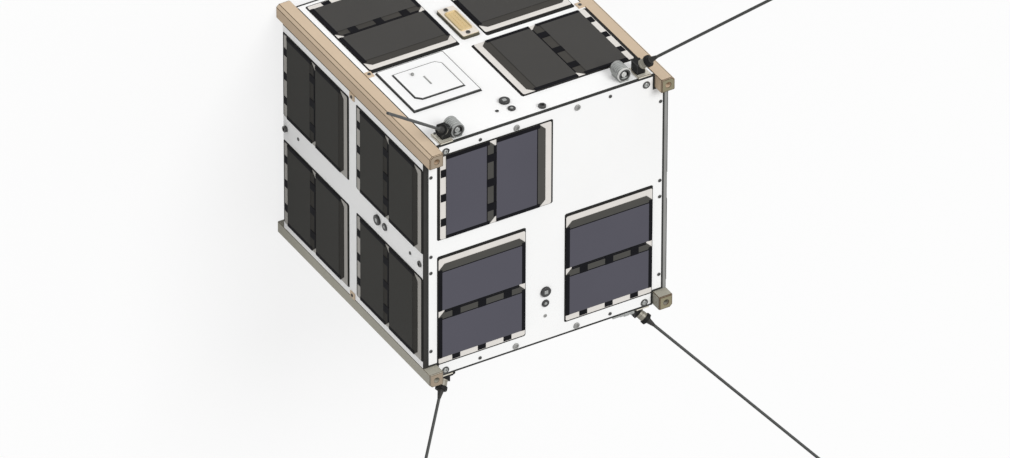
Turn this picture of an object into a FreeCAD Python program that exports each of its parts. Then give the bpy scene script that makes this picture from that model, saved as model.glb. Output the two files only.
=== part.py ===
import FreeCAD, Part
import math
import os

from FreeCAD import Placement, Rotation, Vector

# A cube satellite that stands on the feet of its four corner rails, with its antenna plate up.
# Millimetres. X runs to the right, Y to the back, Z up. The origin is on the floor, between the feet.

# Corner rails
rail_width = 11.1
rail_foot = 9.5
rail_chamfer = 2.2
rail_end_bevel = 0.6
rail_bore = 4.2
rail_bore_depth = 12.0

# Plates and panels that close the body
panel_wall = 3.0
notch_gap = 0.3

# Solar module: two cells in a row on a board, which lies on its panel
cell_length = 40.0
cell_width = 70.4
cell_thickness = 0.3
cell_crop = 4.6
cell_gap = 1.0
board_side_margin = 0.3
board_tab_margin = 4.8
board_end_margin = 5.0
board_thickness = 0.8
board_corner = 1.0
tab_end_inset = 0.6

# Black strips and interconnect tabs on the cells
strip_width = 2.6
strip_height = 0.25
busbar_width = 7.0
tab_width = 6.5
tab_spacing = 21.0
tab_foil = 0.25

# Margins and gaps round the modules, which set the side of the body
top_left_margin = 0.9
top_right_margin = 1.5
top_long_margin = 2.1
top_edge_margin = 9.8
top_low_margin = 11.8
back_left_margin = 5.6
back_right_margin = 7.0
back_channel = 23.2
back_long_margin = 2.7
back_edge_margin = 5.5
back_module_gap = 9.2
left_side_margin = 6.6
left_near_margin = 1.6
left_gap = 13.9
left_far_margin = 2.9

# Patch antenna
patch_base_side = 54.4
patch_base_height = 1.5
patch_width = 38.0
patch_length = 35.8
patch_height = 0.8
patch_corner = 4.0
patch_side_margin = 7.1
patch_module_gap = 5.4

# Umbilical connector: a flange with a raised shell round its contacts
umbilical_width = 13.4
umbilical_length = 37.8
umbilical_height = 2.6
umbilical_corner = 1.0
umbilical_offset = 1.0
shell_width = 9.8
shell_length = 24.6
shell_rise = 0.9
shell_wall = 0.9
shell_depth = 0.6
shell_corner = 2.0
corner_chords = 4

# Sun sensors: a round housing with a square window and a round photodiode beside it
sensor_width = 8.0
sensor_height = 1.8
sensor_window = 3.0
sensor_window_depth = 0.5
diode_width = 5.8
diode_height = 1.1
diode_lens_width = 2.6
diode_lens_depth = 0.3
sensor_spacing = 10.2
top_sensor_inset = 43.3
back_sensor_inset = 24.0
back_sensor_gap = 15.5
left_sensor_inset = 64.1
left_sensor_offset = 1.8

# Antenna roots, one beside each corner of the antenna plate
shoe_inset = 14.0
shoe_height = 1.5
shoe_length = 14.0
shoe_width = 10.5
root_block_width = 6.9
root_block_length = 8.5
root_block_height = 8.5
root_block_side_gap = 3.1
root_block_near_gap = 3.0
root_block_cut = 3.6

# Canted whips, whose run is given by its three parts
whip_run_x = 0.560
whip_run_y = 0.613
whip_run_z = 0.557
whip_length = 187.3
whip_width = 2.2
sleeve_width = 7.0
sleeve_length = 4.9
collar_width = 8.8
collar_length = 3.0
ferrule_width = 4.4
ferrule_length = 6.5

# Stout coaxial connectors beside the back roots, which face the antenna plate's side
stout_width = 10.8
stout_length = 12.5
stout_axis_height = 5.8
stout_near_gap = 2.5
stout_right_inset = 34.4
stout_left_inset = 29.7
stout_mouth_width = 7.0
stout_mouth_depth = 2.5
stout_foot_width = 7.0

# Slim coaxial connectors on the inboard side of the front roots
slim_width = 5.2
slim_axis_height = 4.2
slim_near_gap = 5.6
slim_right_length = 17.0
slim_left_length = 4.5

# Equipment inside, as one plain block
block_side = 150.0

# The module's sizes follow from its cells
board_length = board_tab_margin + 2 * cell_length + cell_gap + board_end_margin
board_width = cell_width + 2 * board_side_margin
module_height = board_thickness + cell_thickness

# The cube is as large as two modules in a row need, both along and across its rails
side_along = left_near_margin + 2 * board_length + left_gap + left_far_margin
side_across = 2 * (rail_width + board_width) + back_left_margin + back_channel + back_right_margin
body_side = max(side_along, side_across)
half_side = body_side / 2
inner_half = half_side - rail_width
rail_length = body_side + 2 * rail_foot
mid_height = rail_foot + half_side
plate_top = rail_foot + body_side
origin = Vector(0, 0, 0)
axis_x = Vector(1, 0, 0)
axis_y = Vector(0, 1, 0)
axis_z = Vector(0, 0, 1)
body_centre = Vector(0, 0, mid_height)


def box(low, high):
    """A box between two opposite corners."""
    size = high - low
    return Part.makeBox(size.x, size.y, size.z, low)


def prism(points, height, level=0.0):
    """A straight prism over a closed outline of (x, y) points."""
    corners = [Vector(x, y, level) for x, y in points]
    wire = Part.makePolygon(corners + corners[:1])
    return Part.Face(wire).extrude(axis_z * height)


def rounded_slab(length, width, height, corner, level=0.0):
    """A slab centred on the Z axis, with its four upright corners rounded in short flats."""
    outline = []
    for quarter, (x_side, y_side) in enumerate(((1, 1), (-1, 1), (-1, -1), (1, -1))):
        for step in range(corner_chords + 1):
            turn = math.pi / 2 * (quarter + step / corner_chords)
            x = x_side * (length / 2 - corner) + corner * math.cos(turn)
            y = y_side * (width / 2 - corner) + corner * math.sin(turn)
            outline.append((x, y))
    return prism(outline, height, level)


def moved(shape, u, v, angle=0.0):
    """The shape turned about the face normal and moved to a place on its face."""
    copy = shape.copy()
    copy.Placement = Placement(Vector(u, v, 0), Rotation(axis_z, angle)).multiply(shape.Placement)
    return copy


def on_face(shape, centre, across, up):
    """The shape carried from the flat face frame to a face of the body."""
    normal = across.cross(up)
    turn = Rotation(across, up, normal, "ZXY")
    copy = shape.copy()
    copy.Placement = Placement(centre, turn).multiply(shape.Placement)
    return copy


# Each built face: where its centre lies, what runs across it and what runs up it.
# The back face runs up away from the antenna plate, and the left face across towards it.
faces = {
    "top": (body_centre + axis_z * half_side, axis_x, axis_y),
    "back": (body_centre + axis_y * half_side, axis_x, -axis_z),
    "left": (body_centre - axis_x * half_side, axis_z, axis_y),
}

# The opposite faces repeat them, mirrored through the middle of the body.
opposites = {
    "base": ("top", axis_z),
    "front": ("back", axis_y),
    "right": ("left", axis_x),
}


def module_places():
    """Where each module's middle lies on its face, and which way its row of cells runs."""
    top_left = -(inner_half - top_left_margin - board_width / 2)
    top_right = inner_half - top_right_margin - board_width / 2
    top_low = -(half_side - top_low_margin - board_length / 2)
    top_long = -(inner_half - top_long_margin - board_length / 2)
    top_high = half_side - top_edge_margin - board_width / 2
    back_left = -(inner_half - back_left_margin - board_width / 2)
    back_right = inner_half - back_right_margin - board_width / 2
    back_far = half_side - back_edge_margin - board_length / 2
    back_long = inner_half - back_long_margin - board_length / 2
    back_near = back_far - board_length / 2 - back_module_gap - board_width / 2
    left_side = inner_half - left_side_margin - board_width / 2
    left_near = half_side - left_near_margin - board_length / 2
    left_far = -(half_side - left_far_margin - board_length / 2)
    return {
        "top": [(top_long, top_high, 0), (top_left, top_low, 90), (top_right, top_low, 90)],
        "back": [(back_left, back_far, 270), (back_right, back_far, 270), (back_long, back_near, 180)],
        "left": [(u, v, 0) for u in (left_near, left_far) for v in (left_side, -left_side)],
    }


places = module_places()
back_modules_near = places["back"][0][1] - board_length / 2
back_long_left = places["back"][2][0] - board_length / 2
sensor_places = {
    "top": (0.0, top_sensor_inset - half_side, 270),
    "back": (back_long_left - back_sensor_gap, back_sensor_inset - half_side, 270),
    "left": (half_side - left_sensor_inset, left_sensor_offset, 0),
}


def solar_board():
    """The light board that carries a module's cells, with its corners cut."""
    x = board_length / 2
    y = board_width / 2
    cut = board_corner
    quarter = [(x, y - cut), (x - cut, y)]
    half = quarter + [(-a, b) for a, b in reversed(quarter)]
    outline = half + [(-a, -b) for a, b in half]
    return prism(outline, board_thickness)


def cell_starts():
    """Where the two cells of a module begin, measured along the row."""
    first = -board_length / 2 + board_tab_margin
    return first, first + cell_length + cell_gap


def solar_cells():
    """Two cells, each with its two corners cropped at the busbar end."""
    cells = []
    for start in cell_starts():
        end = start + cell_length
        side = cell_width / 2
        outline = [
            (start, -side),
            (end - cell_crop, -side),
            (end, -side + cell_crop),
            (end, side - cell_crop),
            (end - cell_crop, side),
            (start, side),
        ]
        cells.append(prism(outline, cell_thickness, board_thickness))
    return cells


def edge_strips():
    """Black strips along both long sides of each cell, up to its cropped corners."""
    strips = []
    for start in cell_starts():
        length = cell_length - cell_crop
        for side in (-cell_width / 2, cell_width / 2 - strip_width):
            strips.append(Part.makeBox(length, strip_width, strip_height, Vector(start, side, module_height)))
    return strips


def interconnects():
    """Foil tabs: formed over the first cell's busbar edge, and flat on the board at the row's start."""
    first, second = cell_starts()
    busbar = first + cell_length - busbar_width
    over = Part.makeBox(second - busbar, tab_width, tab_foil)
    over.translate(Vector(busbar, -tab_width / 2, module_height))
    down = Part.makeBox(tab_foil, tab_width, cell_thickness)
    down.translate(Vector(second - tab_foil, -tab_width / 2, board_thickness))
    formed = over.fuse(down).removeSplitter()
    start = -board_length / 2 + tab_end_inset
    flat = Part.makeBox(first - start, tab_width, tab_foil)
    flat.translate(Vector(start, -tab_width / 2, board_thickness))
    tabs = []
    for offset in (-tab_spacing, 0.0, tab_spacing):
        tabs.append(formed.translated(Vector(0, offset, 0)))
        tabs.append(flat.translated(Vector(0, offset, 0)))
    return tabs


def repeated(pieces, face):
    """The pieces of one module, laid at each place of a face."""
    laid = [moved(piece, *place) for place in places[face] for piece in pieces]
    return [on_face(piece, *faces[face]) for piece in laid]


def top_plate():
    """The antenna plate, notched at its corners for the rails."""
    x_out = half_side - panel_wall
    x_in = inner_half - notch_gap
    outline = [
        (x_in, -half_side),
        (x_in, -x_in),
        (x_out, -x_in),
        (x_out, x_in),
        (x_in, x_in),
        (x_in, half_side),
    ]
    outline += [(-x, y) for x, y in reversed(outline)]
    return prism(outline, panel_wall, plate_top - panel_wall)


def back_panel():
    """The panel between the two back rails and between the two plates."""
    low = Vector(-inner_half, half_side - panel_wall, rail_foot + panel_wall)
    return box(low, Vector(inner_half, half_side, plate_top - panel_wall))


def left_panel():
    """The panel between the two left rails, as tall as the body."""
    low = Vector(-half_side, -inner_half, rail_foot)
    return box(low, Vector(-half_side + panel_wall, inner_half, plate_top))


def corner_rail():
    """The rail at the right back corner, with a tapped bore in its end beside the antenna plate."""
    flat = rail_width - rail_chamfer
    outline = [
        (0, 0),
        (rail_width, 0),
        (rail_width, flat),
        (flat, rail_width),
        (0, rail_width),
    ]
    rail = prism(outline, rail_length)
    ends = [e for e in rail.Edges if abs(e.Vertexes[0].Z - e.Vertexes[-1].Z) < rail_foot / 2]
    rail = rail.makeChamfer(rail_end_bevel, ends)
    mouth = Vector(rail_width / 2, rail_width / 2, rail_length)
    rail = rail.cut(Part.makeCylinder(rail_bore / 2, rail_bore_depth, mouth, -axis_z))
    rail.translate(Vector(inner_half, inner_half, 0))
    return rail


def patch_place():
    """Where the patch antenna's middle lies on the back face."""
    u = -(inner_half - patch_side_margin - patch_base_side / 2)
    v = back_modules_near - patch_module_gap - patch_base_side / 2
    return u, v


def patch_base():
    """The square dielectric plate under the patch."""
    low = Vector(-patch_base_side / 2, -patch_base_side / 2, 0)
    slab = Part.makeBox(patch_base_side, patch_base_side, patch_base_height, low)
    return on_face(moved(slab, *patch_place()), *faces["back"])


def patch_element():
    """The nearly square patch on its base, with two opposite corners cut."""
    x = patch_width / 2
    y = patch_length / 2
    cut = patch_corner
    outline = [
        (-x, y),
        (-x, cut - y),
        (cut - x, -y),
        (x, -y),
        (x, y - cut),
        (x - cut, y),
    ]
    slab = prism(outline, patch_height, patch_base_height)
    return on_face(moved(slab, *patch_place()), *faces["back"])


def umbilical_connector():
    """The gold connector between the two far modules of the back face."""
    flange = rounded_slab(umbilical_width, umbilical_length, umbilical_height, umbilical_corner)
    shell = rounded_slab(shell_width, shell_length, shell_rise, shell_corner, umbilical_height)
    floor = umbilical_height + shell_rise - shell_depth
    inner_width = shell_width - 2 * shell_wall
    inner_length = shell_length - 2 * shell_wall
    cavity = rounded_slab(inner_width, inner_length, shell_depth, shell_corner - shell_wall, floor)
    v = back_modules_near + umbilical_offset + umbilical_length / 2
    return on_face(moved(flange.fuse(shell).cut(cavity), 0.0, v), *faces["back"])


def sensor_housing():
    """A sun sensor's round housing, with the recess of its square window."""
    housing = Part.makeCylinder(sensor_width / 2, sensor_height)
    low = Vector(-sensor_window / 2, -sensor_window / 2, sensor_height - sensor_window_depth)
    return housing.cut(Part.makeBox(sensor_window, sensor_window, sensor_window_depth, low))


def sensor_diode():
    """The round photodiode beside the housing, with its sunk lens."""
    middle = Vector(sensor_spacing, 0, 0)
    can = Part.makeCylinder(diode_width / 2, diode_height, middle)
    sunk = middle + axis_z * (diode_height - diode_lens_depth)
    return can.cut(Part.makeCylinder(diode_lens_width / 2, diode_lens_depth, sunk))


def sensor_pair(face):
    """The two pieces of a face's sun sensor, at their place."""
    pieces = [sensor_housing(), sensor_diode()]
    return [on_face(moved(piece, *sensor_places[face]), *faces[face]) for piece in pieces]


def root_corner():
    """The upper outer corner that the root block would have uncut, at the right back corner."""
    right = half_side - shoe_inset - root_block_side_gap
    back = half_side + shoe_height + root_block_height
    return Vector(right, back, plate_top - root_block_near_gap)


def whip_line():
    """The middle of the block's canted face and the whip's direction, square to that face."""
    run = Vector(whip_run_x, whip_run_y, whip_run_z).normalize()
    drop = Vector(1 / run.x, 1 / run.y, 1 / run.z) * (root_block_cut / 3)
    return root_corner() - drop, run


def antenna_shoe():
    """The metal foot plate under an antenna root, flush with the antenna plate's face."""
    right = half_side - shoe_inset
    low = Vector(right - shoe_width, half_side, plate_top - shoe_length)
    return box(low, Vector(right, half_side + shoe_height, plate_top))


def antenna_block():
    """The insulating block on the shoe, with its outer corner cut square to the whip."""
    corner = root_corner()
    low = corner - Vector(root_block_width, root_block_height, root_block_length)
    seat, run = whip_line()
    reach = root_block_length + root_block_height
    return box(low, corner).cut(Part.makeCylinder(reach, reach, seat, run))


def antenna_whip():
    """Sleeve, collar, tapering ferrule and straight whip, turned about the canted axis."""
    collar_end = sleeve_length + collar_length
    outline = [
        (0, 0),
        (sleeve_width / 2, 0),
        (sleeve_width / 2, sleeve_length),
        (collar_width / 2, sleeve_length),
        (collar_width / 2, collar_end),
        (ferrule_width / 2, collar_end),
        (whip_width / 2, collar_end + ferrule_length),
        (whip_width / 2, whip_length),
        (0, whip_length),
    ]
    corners = [Vector(radius, 0, height) for radius, height in outline]
    profile = Part.Face(Part.makePolygon(corners + corners[:1]))
    whip = profile.revolve(origin, axis_z, 360)
    seat, run = whip_line()
    whip.Placement = Placement(seat, Rotation(axis_z, run))
    return whip


def stout_connector(inset):
    """A round connector that lies on a foot on the back panel, with its open mouth near the antenna plate."""
    near = plate_top - stout_near_gap
    axis_at = Vector(half_side - inset, half_side + stout_axis_height, near)
    body = Part.makeCylinder(stout_width / 2, stout_length, axis_at, -axis_z)
    low = Vector(axis_at.x - stout_foot_width / 2, half_side, near - stout_length)
    foot = box(low, Vector(axis_at.x + stout_foot_width / 2, axis_at.y, near))
    mouth = Part.makeCylinder(stout_mouth_width / 2, stout_mouth_depth, axis_at, -axis_z)
    return body.fuse(foot).cut(mouth)


def slim_connector(length):
    """A thin connector that enters the root block from the inboard side."""
    start = root_corner().x - root_block_width
    middle = Vector(start, half_side + slim_axis_height, plate_top - slim_near_gap)
    return Part.makeCylinder(slim_width / 2, length, middle, -axis_x)


def equipment_block():
    """The trays, batteries and payload inside, as one plain block between the two plates."""
    low = Vector(-block_side / 2, -block_side / 2, rail_foot + panel_wall)
    return box(low, Vector(block_side / 2, block_side / 2, plate_top - panel_wall))


def save(node, solids):
    """Write one node's solids to its file."""
    shape = solids[0] if len(solids) == 1 else Part.makeCompound(solids)
    shape.exportStep("parts/" + node + ".step")


def save_faces(name, built):
    """Write a set of pieces for each built face and, mirrored, for the face opposite."""
    for face, solids in built.items():
        save(name + "_" + face, solids)
    for face, (source, normal) in opposites.items():
        if source in built:
            save(name + "_" + face, [s.mirror(body_centre, normal) for s in built[source]])


def save_corners(name, solid):
    """Write a piece for each corner, mirrored from the right back corner."""
    for y_side, y_mirrored in (("back", False), ("front", True)):
        for x_side, x_mirrored in (("right", False), ("left", True)):
            copy = solid.copy()
            if x_mirrored:
                copy = copy.mirror(origin, axis_x)
            if y_mirrored:
                copy = copy.mirror(origin, axis_y)
            save(name + "_" + x_side + "_" + y_side, [copy])


def save_connectors():
    """Write the two stout connectors of the back and the two slim ones of the front."""
    left_stout = stout_connector(stout_left_inset).mirror(origin, axis_x)
    right_slim = slim_connector(slim_right_length).mirror(origin, axis_y)
    left_slim = slim_connector(slim_left_length).mirror(origin, axis_y).mirror(origin, axis_x)
    save("antenna_connector_right_back", [stout_connector(stout_right_inset)])
    save("antenna_connector_left_back", [left_stout])
    save("antenna_connector_right_front", [right_slim])
    save("antenna_connector_left_front", [left_slim])


def build():
    """Make every node."""
    os.makedirs("parts", exist_ok=True)
    save_corners("rail", corner_rail())
    save_faces("panel", {"top": [top_plate()], "back": [back_panel()], "left": [left_panel()]})
    save_faces("solar_boards", {face: repeated([solar_board()], face) for face in faces})
    save_faces("solar_cells", {face: repeated(solar_cells(), face) for face in faces})
    save_faces("cell_strips", {face: repeated(edge_strips() + interconnects(), face) for face in faces})
    save_faces("patch_base", {"back": [patch_base()]})
    save_faces("patch_element", {"back": [patch_element()]})
    save("umbilical_connector", [umbilical_connector()])
    save_faces("sun_sensor", {face: sensor_pair(face) for face in faces})
    save_corners("antenna_shoe", antenna_shoe())
    save_corners("antenna_block", antenna_block())
    save_connectors()
    save_corners("antenna_whip", antenna_whip())
    save("equipment_block", [equipment_block()])


build()
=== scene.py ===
import math

import bmesh
import bpy
from mathutils import Matrix, Vector


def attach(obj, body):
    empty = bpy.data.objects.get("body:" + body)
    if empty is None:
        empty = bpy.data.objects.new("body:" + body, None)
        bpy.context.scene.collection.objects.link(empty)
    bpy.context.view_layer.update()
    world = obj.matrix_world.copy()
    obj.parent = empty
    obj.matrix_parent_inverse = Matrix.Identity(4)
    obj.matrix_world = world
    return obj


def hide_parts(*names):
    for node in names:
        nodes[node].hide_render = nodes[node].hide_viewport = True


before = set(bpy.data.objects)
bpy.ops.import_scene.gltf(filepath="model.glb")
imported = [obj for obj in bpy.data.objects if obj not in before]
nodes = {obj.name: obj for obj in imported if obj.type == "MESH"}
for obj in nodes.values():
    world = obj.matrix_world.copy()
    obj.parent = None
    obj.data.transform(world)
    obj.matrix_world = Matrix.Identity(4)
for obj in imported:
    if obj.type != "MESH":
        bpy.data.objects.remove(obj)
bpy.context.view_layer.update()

# Looks of the cube satellite. The row frame is in metres; face and corner frames below are in millimetres.
MM = 0.001

# Sizes that the part's source gives, in millimetres
HALF = 100.0
RAIL = 11.1
FOOT = 9.5
BODY = 2 * HALF
MID = FOOT + HALF
PLATE_TOP = FOOT + BODY
INNER = HALF - RAIL
PANEL_WALL = 3.0
SEAL = 1.4
CELL_LENGTH = 40.0
CELL_WIDTH = 70.4
CELL_CROP = 4.6
CELL_GAP = 1.0
CELL_THICKNESS = 0.3
TAB_MARGIN = 4.8
END_MARGIN = 5.0
SIDE_MARGIN = 0.3
BOARD_LENGTH = TAB_MARGIN + 2 * CELL_LENGTH + CELL_GAP + END_MARGIN
BOARD_WIDTH = CELL_WIDTH + 2 * SIDE_MARGIN
BOARD_THICKNESS = 0.8
BOARD_CORNER = 1.0
MODULE_TOP = BOARD_THICKNESS + CELL_THICKNESS
STRIP_WIDTH = 2.6
BUSBAR = 7.0
PATCH_SIDE = 54.4
PATCH_BASE = 1.5
PATCH_TOP = 2.3
PATCH_CUT = 4.0
PATCH_WIDTH = 38.0
PATCH_LENGTH = 35.8
SENSOR_SPACING = 10.2
FLANGE_WIDTH = 13.4
FLANGE_LENGTH = 37.8
FLANGE_CORNER = 1.0
FLANGE_TOP = 2.6
UMBILICAL_MIDDLE = 23.6
CONTACT_FLOOR = 2.9

# Margins and gaps round the modules
TOP_LEFT_MARGIN = 0.9
TOP_RIGHT_MARGIN = 1.5
TOP_LONG_MARGIN = 2.1
TOP_EDGE_MARGIN = 9.8
TOP_LOW_MARGIN = 11.8
BACK_LEFT_MARGIN = 5.6
BACK_RIGHT_MARGIN = 7.0
BACK_LONG_MARGIN = 2.7
BACK_EDGE_MARGIN = 5.5
BACK_MODULE_GAP = 9.2
LEFT_SIDE_MARGIN = 6.6
LEFT_NEAR_MARGIN = 1.6
LEFT_FAR_MARGIN = 2.9

# Antenna roots at the right back corner
SHOE_INSET = 14.0
SHOE_HEIGHT = 1.5
BLOCK_WIDTH = 6.9
BLOCK_HEIGHT = 8.5
BLOCK_SIDE_GAP = 3.1
BLOCK_NEAR_GAP = 3.0
BLOCK_CUT = 3.6
WHIP_RUN = (0.560, 0.613, 0.557)
WHIP_LENGTH = 187.3
WHIP_RADIUS = 1.1

# Connectors: the stout ones lie along the rails on a foot, the slim ones along X. Their sizes on the
# right, 1, and on the left, -1, differ.
STOUT_INSETS = {1: 34.4, -1: 29.7}
STOUT_AXIS = 5.8
STOUT_LENGTH = 12.5
STOUT_NEAR_GAP = 2.5
STOUT_FOOT_WIDTH = 7.0
SLIM_LENGTHS = {1: 17.0, -1: 4.5}
SLIM_AXIS = 4.2
SLIM_NEAR_GAP = 5.6


# Mesh helpers

def band(bm, low, high):
    """The faces between two rings of vertices."""
    for i in range(len(low)):
        j = (i + 1) % len(low)
        bm.faces.new((low[i], low[j], high[j], high[i]))


def loft(bm, rings):
    """Join rings of points, all of the same count, into one solid with flat ends."""
    rows = [[bm.verts.new(p) for p in ring] for ring in rings]
    for low, high in zip(rows, rows[1:]):
        band(bm, low, high)
    bm.faces.new(list(reversed(rows[0])))
    bm.faces.new(rows[-1])


def loop_loft(bm, rings):
    """Join rings in a closed loop, as round a frame or bead."""
    rows = [[bm.verts.new(p) for p in ring] for ring in rings]
    for low, high in zip(rows, rows[1:] + rows[:1]):
        band(bm, low, high)


def circle(radius, height, count=32, centre=(0.0, 0.0)):
    """Points of a level circle."""
    turn = 2 * math.pi / count
    return [(centre[0] + radius * math.cos(turn * i),
             centre[1] + radius * math.sin(turn * i), height) for i in range(count)]


def hexagon(flat, height, count, centre):
    """Points round a hexagon of a given half width across flats."""
    points = []
    for i in range(count):
        angle = 2 * math.pi * i / count
        off = (angle % (math.pi / 3)) - math.pi / 6
        radius = flat / math.cos(off)
        points.append((centre[0] + radius * math.cos(angle), centre[1] + radius * math.sin(angle), height))
    return points


def turned(bm, profile, centre=(0.0, 0.0), count=32):
    """A turned solid from (radius, height) pairs, from its low end to its high end."""
    loft(bm, [circle(max(radius, 0.01), height, count, centre) for radius, height in profile])


def slab(bm, x0, x1, y0, y1, z0, z1, ease=0.0):
    """A box whose upper edges are eased."""
    def outline(inset, z):
        return [(x0 + inset, y0 + inset, z), (x1 - inset, y0 + inset, z),
                (x1 - inset, y1 - inset, z), (x0 + inset, y1 - inset, z)]
    rings = [outline(0, z0), outline(0, z1 - ease)] if ease else [outline(0, z0)]
    loft(bm, rings + [outline(ease, z1)])


def octagon(low_x, high_x, side, cut):
    """A rectangle's outline with its corners cut, anticlockwise."""
    return [(high_x, side - cut), (high_x - cut, side), (low_x + cut, side), (low_x, side - cut),
            (low_x, cut - side), (low_x + cut, -side), (high_x - cut, -side), (high_x, cut - side)]


def shifted(outline, reach):
    """An anticlockwise outline grown outwards by a distance, with mitred corners."""
    points = [Vector(point) for point in outline]
    grown = []
    for index, point in enumerate(points):
        before = (point - points[index - 1]).normalized()
        after = (points[(index + 1) % len(points)] - point).normalized()
        first = Vector((before.y, -before.x))
        second = Vector((after.y, -after.x))
        grown.append(point + (first + second) * (reach / (1 + first.dot(second))))
    return grown


def edging(bm, outline, section):
    """A strip that follows an outline. Its section is given as (reach, height) pairs, in a closed loop."""
    loop_loft(bm, [[(*point, height) for point in shifted(outline, reach)] for reach, height in section])


def socket_screw(bm, u, v, radius, height, base=0.0):
    """A cap screw's head with its hexagon socket."""
    ease = min(0.25 * height, 0.2)
    socket = 0.5 * radius
    floor = base + 0.4 * height
    loft(bm, [
        circle(radius, base - 0.1, 24, (u, v)),
        circle(radius, base + height - ease, 24, (u, v)),
        circle(radius - ease, base + height, 24, (u, v)),
        hexagon(socket, base + height, 24, (u, v)),
        hexagon(socket, floor, 24, (u, v)),
    ])


def washer(bm, u, v, outer, inner, height):
    """A flat ring."""
    section = ((inner, -0.1), (outer, -0.1), (outer, height), (inner, height))
    loop_loft(bm, [circle(radius, level, 32, (u, v)) for radius, level in section])


# Frames of the faces and corners

SCALE = Matrix.Scale(MM, 4)
FACE_AXES = {
    "top": (Vector((0, 0, PLATE_TOP)), Vector((1, 0, 0)), Vector((0, 1, 0))),
    "back": (Vector((0, HALF, MID)), Vector((1, 0, 0)), Vector((0, 0, -1))),
    "left": (Vector((-HALF, 0, MID)), Vector((0, 0, 1)), Vector((0, 1, 0))),
}
OPPOSITES = {"base": ("top", 2), "front": ("back", 1), "right": ("left", 0)}
FACES = ["top", "base", "back", "front", "left", "right"]
CORNERS = [("right_back", 1, 1), ("left_back", -1, 1), ("right_front", 1, -1), ("left_front", -1, -1)]


def mirror_of(axis):
    """A mirror through the body's middle along one axis."""
    flip = Matrix.Identity(4)
    flip[axis][axis] = -1
    if axis == 2:
        flip[2][3] = 2 * MID
    return flip


def face_matrix(face):
    """From a face's own frame, in millimetres, to the row frame, in metres."""
    source, flip = face, Matrix.Identity(4)
    if face in OPPOSITES:
        source, axis = OPPOSITES[face]
        flip = mirror_of(axis)
    centre, across, up = FACE_AXES[source]
    normal = across.cross(up)
    basis = Matrix((
        (across.x, up.x, normal.x, centre.x),
        (across.y, up.y, normal.y, centre.y),
        (across.z, up.z, normal.z, centre.z),
        (0, 0, 0, 1),
    ))
    return SCALE @ flip @ basis


def corner_matrix(x_sign, y_sign):
    """From the right back corner, in millimetres, to another corner's place."""
    return SCALE @ Matrix.Diagonal((x_sign, y_sign, 1, 1))


def source_of(face):
    """The built face that a face repeats."""
    return OPPOSITES[face][0] if face in OPPOSITES else face


def module_places():
    """Where each module's middle lies on its face, and which way its row of cells runs."""
    length = BOARD_LENGTH / 2
    width = BOARD_WIDTH / 2
    top_low = length + TOP_LOW_MARGIN - HALF
    back_far = HALF - BACK_EDGE_MARGIN - length
    back_near = back_far - length - BACK_MODULE_GAP - width
    left_side = INNER - LEFT_SIDE_MARGIN - width
    left_near = HALF - LEFT_NEAR_MARGIN - length
    left_far = length + LEFT_FAR_MARGIN - HALF
    return {
        "top": [(length + TOP_LONG_MARGIN - INNER, HALF - TOP_EDGE_MARGIN - width, 0),
                (width + TOP_LEFT_MARGIN - INNER, top_low, 90),
                (INNER - TOP_RIGHT_MARGIN - width, top_low, 90)],
        "back": [(width + BACK_LEFT_MARGIN - INNER, back_far, 270),
                 (INNER - BACK_RIGHT_MARGIN - width, back_far, 270),
                 (INNER - BACK_LONG_MARGIN - length, back_near, 180)],
        "left": [(u, v, 0) for u in (left_near, left_far) for v in (left_side, -left_side)],
    }


PLACES = module_places()
PATCH_PLACE = (-54.6, -28.9)
SENSOR_PLACES = {"top": (0.0, -56.7, 270), "back": (-20.1, -76.0, 270), "left": (35.9, 1.8, 0)}


def placed(place):
    """A module's or sensor's own frame on its face."""
    u, v, angle = place
    return Matrix.Translation((u, v, 0)) @ Matrix.Rotation(math.radians(angle), 4, "Z")


# Materials

GRAIN = 0.15
COAT_ROUGHNESS = 0.1


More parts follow.
